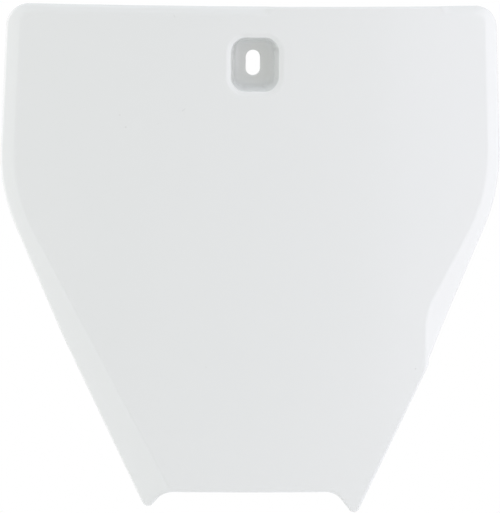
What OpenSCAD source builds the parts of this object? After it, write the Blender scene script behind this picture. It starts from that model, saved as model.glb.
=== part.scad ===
// Racing number board: one thin moulded plate, arched from side to side, whose edge band is bent
// back along a fold, with a drafted pocket for the fixing screw near its top edge.
// X runs to the right as seen from the front, the front faces -Y and Z is up.
// The origin is the middle of the screw slot, on the back of the pocket floor.

/* [Board outline] */
// Half of the width along the top edge, to its sharp corner
top_half = 119.7; // [117:0.1:122]
// Height of the top edge above the screw slot
top_z = 28.2; // [27:0.1:34]
// Radius of the two top corners
top_corner_r = 11.3; // [6:0.1:14]
// Half of the width at the shoulders, to the sharp corner
shoulder_half = 123.2; // [122:0.1:126]
// Height of the shoulders below the screw slot
shoulder_drop = 62.3; // [56:0.1:68]
// Radius that rounds the shoulders
shoulder_r = 85; // [40:1:95]
// Half of the width where the lower left side turns in a little more
waist_half = 91.4; // [90:0.1:93]
// Height of that turn below the screw slot
waist_drop = 135; // [131:0.5:139]
// Half of the width where the right side stops at the end of its folded band
step_half = 87.7; // [86.5:0.1:88.5]
// Height of that place below the screw slot
step_drop = 145.8; // [143:0.1:147]
// Half of the width where the right side goes on below its folded band
step_low_half = 87.1; // [86.5:0.1:88]
// Height of that place below the screw slot
step_low_drop = 149.8; // [149:0.1:152]
// Distance of the left toe tip from the middle, sharp
left_toe_half = 50.2; // [49:0.1:53]
// Height of the left toe tip below the screw slot, sharp
left_toe_drop = 220.1; // [219:0.1:224]
// Distance of the right toe tip from the middle, sharp
right_toe_half = 51.9; // [50:0.1:54]
// Height of the right toe tip below the screw slot, sharp
right_toe_drop = 222.6; // [220:0.1:225]
// Radius of the toe tips
toe_r = 2.9; // [1.5:0.1:3.5]
// Half of the length of the bottom edge between the toes, sharp
bottom_half = 42.1; // [40:0.1:43]
// Height of the bottom edge below the screw slot
bottom_drop = 209.8; // [207:0.1:212]
// Radius where the toes grow out of the bottom edge
toe_root_r = 10; // [4:0.5:14]

/* [Wall and arch] */
// Thickness of the moulded wall
wall = 2.4; // [2:0.1:2.8]
// Radius of the arch from side to side
arch_r = 435; // [360:5:700]
// Break along the trimmed edges
edge_break = 0.8; // [0.3:0.1:1]

/* [Folded band] */
// Angle by which the edge band is bent back
fold_angle = 22; // [8:1:30]
// Half of the width over which the fold is rounded
fold_soft = 1.8; // [0.8:0.1:2.2]
// Distance of the upper side fold from the middle, level with the screw slot
fold_half = 114.7; // [113:0.1:116]
// Distance of the lower side fold from the middle, at the bottom edge
fold_foot = 38.5; // [37:0.1:40]
// Lean of the lower side fold away from the vertical
fold_lean = 28.3; // [27.6:0.1:28.8]
// Half-width at which the fold on the right runs straight down and out of the edge
runout_half = 86; // [84:0.1:87]
// Width of the band along the top edge
top_band = 4; // [3:0.1:6]
// Where the top band ends, to the right of the middle
top_band_end = 5.6; // [-10:0.1:30]
// Where the top band starts again towards the right corner
top_band_start = 94.4; // [60:0.1:100]

/* [Screw pocket] */
// Depth of the pocket from the front of the board to its floor
pocket_depth = 14; // [10:0.5:16]
// Width of the pocket where its lip starts to roll in
pocket_w = 26.6; // [25:0.2:29]
// Height of the pocket where its lip starts to roll in
pocket_h = 29.4; // [28:0.2:32]
// Corner radius of the pocket where its lip starts
pocket_corner_r = 8.8; // [8:0.1:11]
// Radius of the rolled lip
lip_r = 2; // [1.5:0.1:2.4]
// Radius between the pocket wall and its floor
floor_r = 2; // [1:0.1:2.2]
// Draft of the pocket wall
draft = 7.5; // [4:0.5:10]
// Width of the screw slot
slot_w = 7; // [5:0.1:8]
// Length of the screw slot
slot_l = 12.4; // [10:0.1:13]

/* [Hidden] */
front_y = -(pocket_depth + wall);
spoke_step = 6;
spoke_gap = 14;
face_rings = 5;
fold_rings = 5;
lip_steps = 2;
shoulder_round = 11.5;
runout_round = 3.7;
corner_round = 6;
slope_reach = 0.2;
ring_gap = 0.5;
side_lean = atan((shoulder_half - top_half) / (shoulder_drop + top_z));
back_lip_r = max(lip_r - wall, 0.3);
back_lip_t = -(wall + back_lip_r - lip_r) * (1 - sin(draft)) / cos(draft);
roll = 90 - draft;
wall_drop = pocket_depth - (lip_r + floor_r) * (1 - sin(draft));
floor_t = (lip_r + floor_r) * cos(draft) + wall_drop * tan(draft);

// Places in the front view are [x, z], and angles are counted from +X towards +Z.
function dir(a) = [cos(a), sin(a)];
function polar(p) = atan2(p.y, p.x);
function turn(a) = a - 360 * floor((a + 180) / 360);
function cross2(a, b) = a.x * b.y - a.y * b.x;

// Corners of the trimmed outline as [place, radius], anticlockwise in the front view
corners = [
    [[bottom_half, -bottom_drop], toe_root_r],
    [[right_toe_half, -right_toe_drop], toe_r],
    [[step_low_half, -step_low_drop], 0],
    [[step_half, -step_drop], 0],
    [[shoulder_half, -shoulder_drop], shoulder_r],
    [[top_half, top_z], top_corner_r],
    [[top_band_start - top_band, top_z], 0],
    [[top_band_end + top_band, top_z], 0],
    [[-top_half, top_z], top_corner_r],
    [[-shoulder_half, -shoulder_drop], shoulder_r],
    [[-waist_half, -waist_drop], 0],
    [[-left_toe_half, -left_toe_drop], toe_r],
    [[-bottom_half, -bottom_drop], toe_root_r]
];

// The rounded corner at b, between its neighbours a and c, in steps of about 15 degrees
function rounded(a, b, c, r) = r == 0 ? [b] :
    let (
        ua = (a - b) / norm(a - b),
        uc = (c - b) / norm(c - b),
        half = acos(ua * uc) / 2,
        mid = b + (ua + uc) / norm(ua + uc) * r / sin(half),
        v1 = b + ua * r / tan(half) - mid,
        v2 = b + uc * r / tan(half) - mid,
        sweep = turn(polar(v2) - polar(v1)),
        n = max(3, round(abs(sweep) / 15))
    )
    [for (k = [0:n]) mid + r * dir(polar(v1) + sweep * k / n)];

// How far apart p and q count, by the angle seen from the pocket and by their distance
function spread(p, q) = turn(polar(q) - polar(p)) / spoke_step + norm(q - p) / spoke_gap;
// The point on the line from p to q that has a share of their spread behind it, found by halving
function part_way(p, q, share, lo = 0, hi = 1, n = 14) =
    let (t = (lo + hi) / 2, m = p + (q - p) * t)
    n == 0 ? m :
    spread(p, m) < share * spread(p, q) ?
        part_way(p, q, share, t, hi, n - 1) :
        part_way(p, q, share, lo, t, n - 1);
function between(p, q) = let (n = round(spread(p, q))) [for (k = [1:1:n - 1]) part_way(p, q, k / n)];

corner_n = len(corners);
arcs = [for (k = [0:corner_n - 1])
    let (before = corners[(k + corner_n - 1) % corner_n][0], after = corners[(k + 1) % corner_n][0])
    rounded(before, corners[k][0], after, corners[k][1])];
outline = [for (k = [0:corner_n - 1])
    each concat(arcs[k], between(arcs[k][len(arcs[k]) - 1], arcs[(k + 1) % corner_n][0]))];
spokes = len(outline);

// Larger of two distances with the corner between them rounded, and the smaller in the same way
function soft_max(a, b, k) = max(a, b) + pow(max(k - abs(a - b), 0), 2) / (4 * k);
function soft_min(a, b, k) = -soft_max(-a, -b, k);
// Nought below -k, its own value above k, and a smooth bend between
function soft_ramp(s, k) = s < -k ? 0 : s > k ? s : pow(s + k, 2) / (4 * k);

// How far p lies beyond the straight line through a place, on the side that the angle points to
function beyond(p, place, angle) = (p - place) * dir(angle);
function beyond_side(p) = soft_max(
    beyond(p, [fold_half, 0], side_lean),
    beyond(p, [fold_foot, -bottom_drop], -fold_lean), shoulder_round);
function beyond_top(p) = min(
    p.y - (top_z - top_band),
    max(beyond(p, [top_band_end, top_z - top_band], 135), beyond(p, [top_band_start, top_z - top_band], 45)));

// How far p lies beyond the fold: both sides, the run-out on the right, and the top band
function beyond_fold(p) = soft_max(
    max(beyond_side([-p.x, p.y]), soft_min(beyond_side(p), p.x - runout_half, runout_round)),
    beyond_top(p), corner_round);

// Depth of the front surface behind its foremost line, its slope, and the wall measured along Y
function depth(p) =
    arch_r - sqrt(arch_r * arch_r - p.x * p.x) + tan(fold_angle) * soft_ramp(beyond_fold(p), fold_soft);
function slope(p) = norm([
    depth(p + [slope_reach, 0]) - depth(p - [slope_reach, 0]),
    depth(p + [0, slope_reach]) - depth(p - [0, slope_reach])]) / (2 * slope_reach);
function wall_y(p) = wall * sqrt(1 + pow(slope(p), 2));

// Distance from the pocket's middle, along the direction u, to a rounded rectangle
function to_rim(u, hx, hz, r) =
    let (
        c = [abs(u.x), abs(u.y)],
        side = hx / max(c.x, 1e-6),
        top = hz / max(c.y, 1e-6),
        m = [hx - r, hz - r]
    )
    side * c.y <= m.y ? side : top * c.x <= m.x ? top : c * m + sqrt(pow(c * m, 2) - m * m + r * r);
function pocket_reach(u, t) = to_rim(u, pocket_w / 2 - t, pocket_h / 2 - t, pocket_corner_r - t);

// Distance along u at which the fold's measure reaches a level, found by halving
function fold_reach(u, level, lo, hi, n = 18) = n == 0 ? (lo + hi) / 2 :
    let (mid = (lo + hi) / 2)
    beyond_fold(u * mid) < level ?
        fold_reach(u, level, mid, hi, n - 1) :
        fold_reach(u, level, lo, mid, n - 1);

// One spoke of the front or the back, from the outer edge to the pocket floor, as [reach, y]
function spoke(j, back) =
    let (
        q = outline[j],
        u = q / norm(q),
        along = outline[(j + 1) % spokes] - outline[(j + spokes - 1) % spokes],
        inset = min(1 / abs(cross2(u, along / norm(along))), 4),
        out = norm(q),
        lip = pocket_reach(u, back ? back_lip_t : 0),
        edge = out - inset * edge_break,
        bend = [for (k = [0:fold_rings - 1])
            let (level = (1 - 2 * k / (fold_rings - 1)) * fold_soft)
            min(fold_reach(u, level, lip, out), edge - inset * ring_gap * (k + 1))],
        fold_end = bend[fold_rings - 1],
        face = [for (k = [1:face_rings]) fold_end + (lip - fold_end) * k / (face_rings + 1)],
        skin = [for (r = concat([edge], bend, face)) [r, depth(u * r) + (back ? wall_y(u * r) : 0)]],
        rim = [out, depth(q) + (back ? wall_y(q) - edge_break : edge_break)],
        lip_at = back ? [back_lip_t, wall + back_lip_r, back_lip_r] : [0, lip_r, lip_r],
        foot_r = floor_r + (back ? wall : 0),
        rolled = [for (k = [0:lip_steps])
            let (a = roll * k / lip_steps, r = pocket_reach(u, lip_at[0] + lip_at[2] * sin(a)))
            [r, lip_at[1] - lip_at[2] * cos(a) + depth(u * r)]],
        foot = [for (k = [lip_steps:-1:0]) let (a = roll * k / lip_steps)
            [pocket_reach(u, floor_t - foot_r * sin(a)), pocket_depth - floor_r + foot_r * cos(a)]]
    )
    [for (e = concat([rim], skin, rolled, foot)) [u.x * e[0], front_y + e[1], u.y * e[0]]];

// The moulded plate with its pocket: rings of points from the front floor of the pocket, out over
// the face and the fold, round the edge and back over the rear to the rear of the floor
module moulding() {
    front = [for (j = [0:spokes - 1]) spoke(j, false)];
    rear = [for (j = [0:spokes - 1]) spoke(j, true)];
    side_n = len(front[0]);
    rings = concat(
        [for (i = [side_n - 1:-1:0]) [for (j = [0:spokes - 1]) front[j][i]]],
        [for (i = [0:side_n - 1]) [for (j = [0:spokes - 1]) rear[j][i]]]
    );
    ring_n = len(rings);
    skin = [for (i = [0:ring_n - 2], j = [0:spokes - 1])
        let (a = i * spokes + j, b = i * spokes + (j + 1) % spokes)
        each [[a, b, b + spokes], [a, b + spokes, a + spokes]]];
    last = ring_n * spokes;
    floors = [for (j = [0:spokes - 1])
        let (k = (j + 1) % spokes, rear_ring = last - spokes)
        each [[last, k, j], [last + 1, rear_ring + j, rear_ring + k]]];
    middles = [[0, front_y + pocket_depth, 0], [0, 0, 0]];
    polyhedron(concat([for (ring = rings) each ring], middles), concat(skin, floors), convexity = 6);
}

// Slot for the fixing screw, with a true half-round at each end
module screw_slot() {
    end = (slot_l - slot_w) / 2;
    for (z = [-end, end])
        translate([0, 0, z]) rotate([90, 0, 0]) cylinder(h = 4 * wall, d = slot_w, center = true, $fn = 64);
    cube([slot_w, 4 * wall, 2 * end], center = true);
}

module number_board() {
    color("#e3e5e4") difference() {
        moulding();
        screw_slot();
    }
}

number_board();
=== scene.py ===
import math
import bpy
from mathutils import Matrix, Vector


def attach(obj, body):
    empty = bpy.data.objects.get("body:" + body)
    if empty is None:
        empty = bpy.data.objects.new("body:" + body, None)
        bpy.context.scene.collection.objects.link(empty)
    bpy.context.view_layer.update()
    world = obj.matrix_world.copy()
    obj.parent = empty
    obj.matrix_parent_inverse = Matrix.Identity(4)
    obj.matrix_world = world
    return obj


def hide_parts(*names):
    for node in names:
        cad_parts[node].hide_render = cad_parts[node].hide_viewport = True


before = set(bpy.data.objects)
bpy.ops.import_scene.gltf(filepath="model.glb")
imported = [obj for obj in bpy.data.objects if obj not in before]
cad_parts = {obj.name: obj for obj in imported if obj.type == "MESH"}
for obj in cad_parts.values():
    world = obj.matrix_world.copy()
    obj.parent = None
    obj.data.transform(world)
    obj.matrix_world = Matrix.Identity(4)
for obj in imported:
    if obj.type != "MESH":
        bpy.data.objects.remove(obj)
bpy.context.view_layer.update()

# The board: one thin plate moulded in glossy white plastic, arched from side to side, with its edge
# band bent back along a fold and a drafted pocket for the fixing screw near the top edge.
# It is made as rings of points, from the screw slot out over the face, round the edge and back.
top_half, top_z, top_corner_r = 0.1197, 0.0282, 0.0113
shoulder_half, shoulder_drop, shoulder_r = 0.1232, 0.0623, 0.085
waist_half, waist_drop = 0.0914, 0.135
step_half, step_drop = 0.0878, 0.1455
step_low_half, step_low_drop, step_r = 0.0880, 0.1475, 0.002
left_toe_half, left_toe_drop = 0.0502, 0.2201
right_toe_half, right_toe_drop, toe_r = 0.0519, 0.2226, 0.0029
bottom_half, bottom_drop, toe_root_r = 0.0421, 0.2098, 0.010
wall, arch_r, edge_r = 0.0024, 0.435, 0.0011
fold_slope, fold_soft = math.tan(math.radians(22)), 0.0008
fold_half, fold_foot, fold_lean = 0.1147, 0.0385, 28.3
runout_half = 0.086
shoulder_round, runout_round, corner_round = 0.0115, 0.0037, 0.006
top_band, top_band_end, top_band_start = 0.004, 0.0056, 0.0944
pocket_depth, pocket_w, pocket_h, pocket_corner_r = 0.014, 0.0266, 0.0294, 0.0088
lip_r, floor_r, draft = 0.002, 0.0034, math.radians(7.5)
dish_start, dish_r, dish_tilt, dish_run, rim_r = 0.00135, 0.0033, math.radians(23), 0.00145, 0.00025
slot_w, slot_l, slot_edge_r = 0.007, 0.0124, 0.0003
front_y = -(pocket_depth + wall)
side_lean = math.degrees(math.atan((shoulder_half - top_half) / (shoulder_drop + top_z)))

# What follows from them for the pocket: the turn from face to wall, the lip on the back, and how far the
# outline is drawn in at the floor. Each lip is a list of bends: radius, tilt reached, straight run after.
roll = math.pi / 2 - draft
back_lip_r = max(lip_r - wall, 0.0003)
back_lip_t = -(wall + back_lip_r - lip_r) * (1 - math.sin(draft)) / math.cos(draft)
fall = pocket_depth - (lip_r + floor_r) * (1 - math.sin(draft))
floor_t = (lip_r + floor_r) * math.cos(draft) + fall * math.tan(draft)
front_lip = [(dish_r, dish_tilt, dish_run), (rim_r, roll, 0)]
back_lip = [(back_lip_r, roll, 0)]

# How finely the board is laid out: where rings cross the fold, in parts of its softness, the least gap
# between rings, how far a slanting edge may widen them, and the steps of each stretch.
fold_rings = (1.6, 1.1, 0.8, 0.5, 0.25, 0, -0.25, -0.5, -0.8, -1.1, -1.6)
ring_gap, widest_inset = 0.0004, 4
edge_steps, face_steps, bend_steps, wall_steps, floor_steps = 4, 16, 6, 4, 4


def unit(degrees):
    return math.cos(math.radians(degrees)), math.sin(math.radians(degrees))


def soft_max(a, b, k):
    return max(a, b) + max(k - abs(a - b), 0) ** 2 / (4 * k)


def beyond(x, z, place_x, place_z, degrees):
    """How far a point lies beyond the straight line through a place, on the side that the angle points to."""
    c, s = unit(degrees)
    return (x - place_x) * c + (z - place_z) * s


def beyond_side(x, z):
    upper = beyond(x, z, fold_half, 0, side_lean)
    return soft_max(upper, beyond(x, z, fold_foot, -bottom_drop, -fold_lean), shoulder_round)


def beyond_fold(x, z):
    """How far a point of the front view lies outside the fold: both sides, the run-out and the top band."""
    right = -soft_max(-beyond_side(x, z), runout_half - x, runout_round)
    ends = max(
        beyond(x, z, top_band_end, top_z - top_band, 135),
        beyond(x, z, top_band_start, top_z - top_band, 45),
    )
    return soft_max(max(beyond_side(-x, z), right), min(z - top_z + top_band, ends), corner_round)


def depth(x, z):
    """Depth of the front surface behind its foremost line: the arch, and what the fold adds."""
    s = beyond_fold(x, z)
    bend = 0 if s < -fold_soft else s if s > fold_soft else (s + fold_soft) ** 2 / (4 * fold_soft)
    return arch_r - math.sqrt(arch_r**2 - x * x) + fold_slope * bend


def wall_y(x, z, reach=0.0002):
    """The wall measured front to back, which is thicker where the surface slants."""
    slant_x = (depth(x + reach, z) - depth(x - reach, z)) / (2 * reach)
    slant_z = (depth(x, z + reach) - depth(x, z - reach)) / (2 * reach)
    return wall * math.sqrt(1 + slant_x**2 + slant_z**2)


def rounded_corner(before, corner, after, radius):
    """The arc that rounds a corner, in steps of about 5 degrees."""
    if radius == 0:
        return [corner]
    ua = [(p - q) / math.dist(before, corner) for p, q in zip(before, corner)]
    uc = [(p - q) / math.dist(after, corner) for p, q in zip(after, corner)]
    half = math.acos(ua[0] * uc[0] + ua[1] * uc[1]) / 2
    middle = [q + (a + c) / math.hypot(ua[0] + uc[0], ua[1] + uc[1]) * radius / math.sin(half)
              for q, a, c in zip(corner, ua, uc)]
    touch = radius / math.tan(half)
    start, end = [[q + u[i] * touch - middle[i] for i, q in enumerate(corner)] for u in (ua, uc)]
    first = math.atan2(start[1], start[0])
    sweep = (math.atan2(end[1], end[0]) - first + math.pi) % (2 * math.pi) - math.pi
    steps = max(5, round(abs(math.degrees(sweep)) / 5))
    return [(middle[0] + radius * math.cos(first + sweep * k / steps),
             middle[1] + radius * math.sin(first + sweep * k / steps)) for k in range(steps + 1)]


def straight(p, q):
    """Points between p and q, spread both by their length and by the angle seen from the pocket."""
    first = math.atan2(p[1], p[0])

    def measure(t):
        x, z = p[0] + (q[0] - p[0]) * t, p[1] + (q[1] - p[1]) * t
        turned = (math.atan2(z, x) - first + math.pi) % (2 * math.pi) - math.pi
        return turned / math.radians(2) + t * math.dist(p, q) / 0.002

    count = round(measure(1))
    points = []
    for k in range(1, count):
        low, high = 0.0, 1.0
        for _ in range(30):
            t = (low + high) / 2
            low, high = (t, high) if measure(t) < measure(1) * k / count else (low, t)
        points.append((p[0] + (q[0] - p[0]) * low, p[1] + (q[1] - p[1]) * low))
    return points


corners = [
    ((bottom_half, -bottom_drop), toe_root_r),
    ((right_toe_half, -right_toe_drop), toe_r),
    ((step_low_half, -step_low_drop), step_r),
    ((step_half, -step_drop), 0),
    ((shoulder_half, -shoulder_drop), shoulder_r),
    ((top_half, top_z), top_corner_r),
    ((top_band_start - top_band, top_z), 0),
    ((top_band_end + top_band, top_z), 0),
    ((-top_half, top_z), top_corner_r),
    ((-shoulder_half, -shoulder_drop), shoulder_r),
    ((-waist_half, -waist_drop), 0),
    ((-left_toe_half, -left_toe_drop), toe_r),
    ((-bottom_half, -bottom_drop), toe_root_r),
]
arcs = [rounded_corner(corners[k - 1][0], corners[k][0], corners[(k + 1) % len(corners)][0], corners[k][1])
        for k in range(len(corners))]
outline = []
for k, arc in enumerate(arcs):
    outline += arc + straight(arc[-1], arcs[(k + 1) % len(arcs)][0])
spokes = len(outline)


def to_rim(ux, uz, half_w, half_h, radius):
    """Distance from the middle of a rounded rectangle to its edge along a direction."""
    c, s = abs(ux), abs(uz)
    side, top = half_w / max(c, 1e-6), half_h / max(s, 1e-6)
    mx, mz = half_w - radius, half_h - radius
    if side * s <= mz:
        return side
    if top * c <= mx:
        return top
    along = c * mx + s * mz
    return along + math.sqrt(along**2 - mx**2 - mz**2 + radius**2)


def pocket_reach(ux, uz, t):
    """Distance to the pocket's outline, drawn in by t."""
    return to_rim(ux, uz, pocket_w / 2 - t, pocket_h / 2 - t, pocket_corner_r - t)


def slot_reach(ux, uz, clear):
    return to_rim(ux, uz, slot_w / 2 + clear, slot_l / 2 + clear, slot_w / 2 + clear)


def fold_reach(ux, uz, level, low, high):
    """Distance at which a direction comes to lie beyond the fold by the given level."""
    for _ in range(20):
        middle = (low + high) / 2
        low, high = (middle, high) if beyond_fold(ux * middle, uz * middle) < level else (low, middle)
    return low


def edge_points(ux, uz, out, inset, back):
    """Round the plate's edge, from its outermost point in to the front or the back."""
    points = []
    for k in reversed(range(edge_steps + 1)):
        c, s = unit(90 * k / edge_steps)
        r = out - inset * edge_r * (1 - s)
        y = depth(ux * r, uz * r)
        rounding = edge_r * (1 - c)
        points.append((r, y + wall_y(ux * r, uz * r) - rounding if back else y + rounding))
    return points


def plate_points(ux, uz, reaches, back):
    """Over the edge band, the fold and the face."""
    points = []
    for r in reaches:
        y = depth(ux * r, uz * r)
        points.append((r, y + wall_y(ux * r, uz * r) if back else y))
    return points


def lip_points(ux, uz, t, sunk, bends):
    """Over the pocket's lip: each bend turns the surface to its tilt and may run on straight."""
    points, turned = [], 0
    for bend_r, tilt, run in bends:
        for k in range(1 if turned else 0, bend_steps + 1):
            a = turned + (tilt - turned) * k / bend_steps
            r = pocket_reach(ux, uz, t + bend_r * (math.sin(a) - math.sin(turned)))
            points.append((r, sunk + bend_r * (math.cos(turned) - math.cos(a)) + depth(ux * r, uz * r)))
        t += bend_r * (math.sin(tilt) - math.sin(turned)) + run
        sunk += bend_r * (math.cos(turned) - math.cos(tilt)) + run * math.tan(tilt)
        turned = tilt
        if run:
            r = pocket_reach(ux, uz, t)
            points.append((r, sunk + depth(ux * r, uz * r)))
    return points, t


def cup_points(ux, uz, lip_t, lip_y, back):
    """Down the pocket's drafted wall, round its foot, and over its floor to the rounded edge of the slot."""
    foot_r = floor_r + wall if back else floor_r
    foot_y = pocket_depth - floor_r + foot_r * math.cos(roll)
    foot_t = floor_t - foot_r * math.sin(roll)
    points = []
    for k in range(1, wall_steps):
        t = lip_t + (foot_t - lip_t) * k / wall_steps
        points.append((pocket_reach(ux, uz, t), lip_y + (foot_y - lip_y) * k / wall_steps))
    for k in reversed(range(bend_steps + 1)):
        a = roll * k / bend_steps
        r = pocket_reach(ux, uz, floor_t - foot_r * math.sin(a))
        points.append((r, pocket_depth - floor_r + foot_r * math.cos(a)))
    level = pocket_depth + (wall if back else 0)
    floor_end, hole = points[-1][0], slot_reach(ux, uz, slot_edge_r)
    for k in range(1, floor_steps + 1):
        points.append((floor_end + (hole - floor_end) * k / floor_steps, level))
    for a in (30, 60, 90):
        c, s = unit(a)
        rounding = slot_edge_r * (1 - c)
        r = slot_reach(ux, uz, slot_edge_r * (1 - s))
        points.append((r, level - rounding if back else level + rounding))
    return points


def spoke(j):
    """One spoke's points, from the slot out over the front, round the edge and back over the rear."""
    x, z = outline[j]
    out = math.hypot(x, z)
    ux, uz = x / out, z / out
    ahead, behind = outline[(j + 1) % spokes], outline[j - 1]
    facing = abs(ux * (ahead[1] - behind[1]) - uz * (ahead[0] - behind[0])) / math.dist(ahead, behind)
    inset = min(1 / max(facing, 1e-6), widest_inset)
    outer = out - inset * edge_r
    nearest = pocket_reach(ux, uz, -dish_start)
    bends = []
    for k, level in enumerate(fold_rings):
        reach = fold_reach(ux, uz, level * fold_soft, nearest, out)
        bends.append(min(reach, outer - inset * ring_gap * (k + 3)))
    band = [outer + (bends[0] - outer) * k / 3 for k in (1, 2)]
    sides = []
    for back in (False, True):
        start_t, sunk, lip_bends = (back_lip_t, wall, back_lip) if back else (-dish_start, 0, front_lip)
        lip = pocket_reach(ux, uz, start_t)
        face = [bends[-1] + (lip - bends[-1]) * k / face_steps for k in range(1, face_steps)]
        points = edge_points(ux, uz, out, inset, back) + plate_points(ux, uz, band + bends + face, back)
        over_lip, lip_t = lip_points(ux, uz, start_t, sunk, lip_bends)
        points += over_lip + cup_points(ux, uz, lip_t, over_lip[-1][1], back)
        sides.append([(ux * r, front_y + y, uz * r) for r, y in points])
    return sides[0][::-1] + sides[1]


columns = [spoke(j) for j in range(spokes)]
ring_count = len(columns[0])

bpy.ops.object.select_all(action="DESELECT")
bpy.ops.mesh.primitive_circle_add(vertices=spokes, radius=slot_w)
board = bpy.context.object
board.name = "number_board_skin"
bpy.ops.object.mode_set(mode="EDIT")
bpy.ops.mesh.select_all(action="SELECT")
for _ in range(ring_count - 1):
    bpy.ops.mesh.extrude_region_move()
bpy.ops.object.mode_set(mode="OBJECT")
for i in range(ring_count):
    for j in range(spokes):
        board.data.vertices[i * spokes + j].co = columns[j][i]
bpy.ops.object.mode_set(mode="EDIT")
bpy.ops.mesh.select_all(action="DESELECT")
bpy.ops.mesh.select_non_manifold()
bpy.ops.mesh.bridge_edge_loops()
bpy.ops.mesh.select_all(action="SELECT")
bpy.ops.mesh.normals_make_consistent(inside=False)
bpy.ops.object.mode_set(mode="OBJECT")
bpy.ops.object.shade_smooth()


class Value:
    """A shader value that can be reckoned with, so that shader maths reads as ordinary sums."""

    def __init__(self, tree, socket):
        self.tree, self.socket = tree, socket

    def node(self, kind, settings, inputs, output=0):
        """Any other node: its settings first, then its inputs as plain values or links."""
        made = self.tree.nodes.new("ShaderNode" + kind)
        for name, setting in settings.items():
            setattr(made, name, setting)
        for place, value in inputs.items():
            if isinstance(value, Value):
                self.tree.links.new(value.socket, made.inputs[place])
            else:
                made.inputs[place].default_value = value
        return Value(self.tree, made.outputs[output])

    def math(self, operation, first, second=0.0):
        return self.node("Math", {"operation": operation}, {0: first, 1: second})

    def ramp(self, low, high, start=0.0, end=1.0):
        """Start below low, end above high, and a smooth step between."""
        steps = {"Value": self, "From Min": low, "From Max": high, "To Min": start, "To Max": end}
        return self.node("MapRange", {"interpolation_type": "SMOOTHSTEP"}, steps)

    def __add__(self, other):
        return self.math("ADD", self, other)

    def __sub__(self, other):
        return self.math("SUBTRACT", self, other)

    def __rsub__(self, other):
        return self.math("SUBTRACT", other, self)

    def __mul__(self, other):
        return self.math("MULTIPLY", self, other)

    __radd__, __rmul__ = __add__, __mul__


# Marks that the photograph shows on the front, as places in the front view: dark specks and short
# nicks with their radius, and shallow dents with their half-width, half-height and depth.
specks = [
    (-0.0653, -0.0252, 0.0003),
    (-0.0624, -0.0311, 0.00035),
    (-0.0468, -0.0292, 0.0002),
    (-0.0350, -0.0227, 0.00025),
    (-0.0344, -0.0223, 0.00025),
    (-0.0339, -0.0218, 0.0002),
    (-0.0396, 0.0235, 0.00025),
    (-0.0392, 0.0229, 0.00025),
    (-0.0223, -0.1481, 0.00025),
    (0.0811, -0.1495, 0.0004),
]
dents = [
    (-0.0545, -0.0320, 0.0020, 0.0120, 0.00006),
    (-0.0500, -0.2015, 0.0050, 0.0050, 0.00010),
]
white_low, white_high, dirt = (0.771, 0.789, 0.783, 1), (0.785, 0.801, 0.795, 1), (0.38, 0.37, 0.35, 1)
speck_strength, dent_spread = 0.22, 1.6
cloud_scale, grain_scale = 17.0, 420.0
cloud_rise, grain_rise = 0.00012, 0.0000012
smoothest, cloud_dulling, grain_dulling, plastic_ior = 0.12, 0.05, 0.04, 1.49
plastic = bpy.data.materials.new("gloss_white_plastic")
plastic.use_nodes = True
tree = plastic.node_tree
shader = tree.nodes["Principled BSDF"]
coordinates = tree.nodes.new("ShaderNodeTexCoord")
place = Value(tree, coordinates.outputs["Object"])
facing = Value(tree, coordinates.outputs["Normal"])
front = facing.node("SeparateXYZ", {}, {0: facing}, output=1).ramp(-0.6, -0.3, 1.0, 0.0)
flat = place.node("VectorMath", {"operation": "MULTIPLY"}, {0: place, 1: (1, 0, 1)})

cloud = place.node("TexNoise", {}, {"Vector": place, "Scale": cloud_scale, "Detail": 3.0})
grain = place.node("TexNoise", {}, {"Vector": place, "Scale": grain_scale, "Detail": 2.0})
speckled = 0.0
for x, z, radius in specks:
    gap = flat.node("VectorMath", {"operation": "DISTANCE"}, {0: flat, 1: (x, 0, z)}, output=1)
    speckled = gap.ramp(0.6 * radius, 1.5 * radius, speck_strength, 0.0) + speckled
dented = 0.0
for x, z, half_w, half_h, sunk in dents:
    scaled = flat.node("VectorMath", {"operation": "MULTIPLY"}, {0: flat, 1: (1 / half_w, 0, 1 / half_h)})
    middle = (x / half_w, 0, z / half_h)
    gap = scaled.node("VectorMath", {"operation": "DISTANCE"}, {0: scaled, 1: middle}, output=1)
    dented = gap.ramp(0.0, dent_spread, sunk, 0.0) + dented

clean = place.node("Mix", {"data_type": "RGBA"}, {0: cloud, 6: white_low, 7: white_high}, 2)
marked = place.node("Mix", {"data_type": "RGBA"}, {0: speckled * front, 6: clean, 7: dirt}, 2)
roughness = smoothest + cloud * cloud_dulling + grain * grain_dulling
height = cloud * cloud_rise + grain * grain_rise - dented * front
bump = place.node("Bump", {}, {"Strength": 1.0, "Distance": 1.0, "Height": height})
tree.links.new(marked.socket, shader.inputs["Base Color"])
tree.links.new(roughness.socket, shader.inputs["Roughness"])
tree.links.new(bump.socket, shader.inputs["Normal"])
shader.inputs["IOR"].default_value = plastic_ior
board.data.materials.append(plastic)
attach(board, "root")
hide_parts("number_board")

# The floor: a plain pale studio floor well below the board, which hangs by its screw. It is a little
# lighter where it is looked at or mirrored, so that it joins the white of the room.
floor_size, floor_drop = 4.0, 1.1
floor_paint, floor_lift = (0.9, 0.9, 0.9, 1), (0.15, 0.15, 0.15, 1)


def looking_rays(tree):
    """1 for the rays that look at a surface, straight, mirrored or through it, and 0 for all others."""
    light_path = tree.nodes.new("ShaderNodeLightPath")
    rays = ("Is Camera Ray", "Is Glossy Ray", "Is Transmission Ray")
    camera_ray, glossy_ray, transmission_ray = (Value(tree, light_path.outputs[ray]) for ray in rays)
    return camera_ray + glossy_ray + transmission_ray


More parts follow.
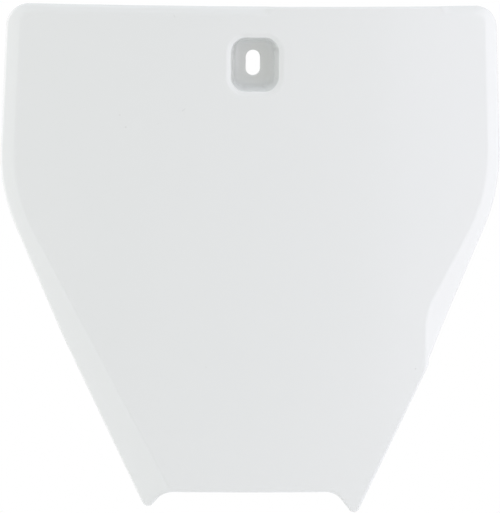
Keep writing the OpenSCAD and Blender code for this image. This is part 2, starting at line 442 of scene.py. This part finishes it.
bpy.ops.object.select_all(action="DESELECT")
bpy.ops.mesh.primitive_plane_add(size=floor_size, location=(0, 0, 0))
floor = bpy.context.object
floor.name = "studio_floor"
for vertex in floor.data.vertices:
    vertex.co.z -= floor_drop
paint = bpy.data.materials.new("pale_floor")
paint.use_nodes = True
tree = paint.node_tree
surface = tree.nodes["Principled BSDF"]
surface.inputs["Base Color"].default_value = floor_paint
surface.inputs["Roughness"].default_value = 0.9
seen = looking_rays(tree)
lifted = seen.node("Mix", {"data_type": "RGBA"}, {0: seen, 6: (0, 0, 0, 1), 7: floor_lift}, 2)
tree.links.new(lifted.socket, surface.inputs["Emission Color"])
surface.inputs["Emission Strength"].default_value = 1
floor.data.materials.append(paint)

# The light: softboxes on stands round the board, each as azimuth from the front, height angle, width,
# height, distance and the brightness of its cloth.
softboxes = [
    (-65, 4, 1.6, 2.2, 1.6, (0.38, 0.40, 0.42)),
    (36, 4, 0.7, 2.2, 1.8, (0.29, 0.28, 0.36)),
    (72, 4, 1.7, 2.2, 1.8, (0.92, 0.90, 1.00)),
    (-108, 4, 1.2, 2.0, 1.8, (1.00, 0.93, 0.98)),
    (0, 62, 1.4, 0.9, 1.6, (0.52, 0.53, 0.61)),
]
board_middle = Vector((0, 0, (top_z - right_toe_drop) / 2))
for azimuth, lift, width, height, distance, cloth in softboxes:
    (south, east), (level, up) = unit(azimuth), unit(lift)
    outwards = Vector((east * level, -south * level, up))
    lamp = bpy.data.lights.new("softbox", "AREA")
    lamp.shape = "RECTANGLE"
    lamp.size, lamp.size_y = width, height
    lamp.color = [part / max(cloth) for part in cloth]
    lamp.energy = 4 * width * height * max(cloth)
    softbox = bpy.data.objects.new("softbox", lamp)
    softbox.location = board_middle + distance * outwards
    softbox.rotation_euler = outwards.to_track_quat("Z", "Y").to_euler()
    bpy.context.collection.objects.link(softbox)

# The room round them: pale and even, a little lighter overhead and behind, and white where it is looked
# at or mirrored.
room_front, room_behind, room_above = (0.62, 0.60, 0.55, 1), (0.8, 0.8, 0.8, 1), (0.86, 0.89, 0.92, 1)
front_end, behind_start, walls_end, above_start = -0.2, 0.9, 0.5, 0.64
world = bpy.data.worlds.new("studio_room")
bpy.context.scene.world = world
world.use_nodes = True
tree = world.node_tree
background = tree.nodes["Background"]
coordinates = tree.nodes.new("ShaderNodeTexCoord")
towards = Value(tree, coordinates.outputs["Generated"])
north, up = (towards.node("SeparateXYZ", {}, {0: towards}, output=k) for k in (1, 2))
backward, upward = north.ramp(front_end, behind_start), up.ramp(walls_end, above_start)
walls = north.node("Mix", {"data_type": "RGBA"}, {0: backward, 6: room_front, 7: room_behind}, 2)
room = up.node("Mix", {"data_type": "RGBA"}, {0: upward, 6: walls, 7: room_above}, 2)
seen = looking_rays(tree)
shown = seen.node("Mix", {"data_type": "RGBA"}, {0: seen, 6: room, 7: (1, 1, 1, 1)}, 2)
tree.links.new(shown.socket, background.inputs["Color"])

# The camera: a long lens a little to the left of the board and above it, as in the photograph.
camera_distance, yaw, lift, camera_roll = 3.4, math.radians(-4.54), math.radians(6.05), math.radians(0.65)
picture_width = 0.2435
target = Vector((-0.00146, front_y, -0.09364))
lens = bpy.data.cameras.new("photo_camera")
lens.sensor_fit = "HORIZONTAL"
lens.sensor_width = 36
lens.lens = lens.sensor_width * camera_distance / picture_width
camera = bpy.data.objects.new("photo_camera", lens)
bpy.context.collection.objects.link(camera)
away = Vector((math.sin(yaw) * math.cos(lift), -math.cos(yaw) * math.cos(lift), math.sin(lift)))
camera.location = target + camera_distance * away
aim = (-away).to_track_quat("-Z", "Y")
camera.rotation_euler = (aim.to_matrix() @ Matrix.Rotation(camera_roll, 3, "Z")).to_euler()
bpy.context.scene.camera = camera
bpy.context.scene.view_settings.view_transform = "Standard"
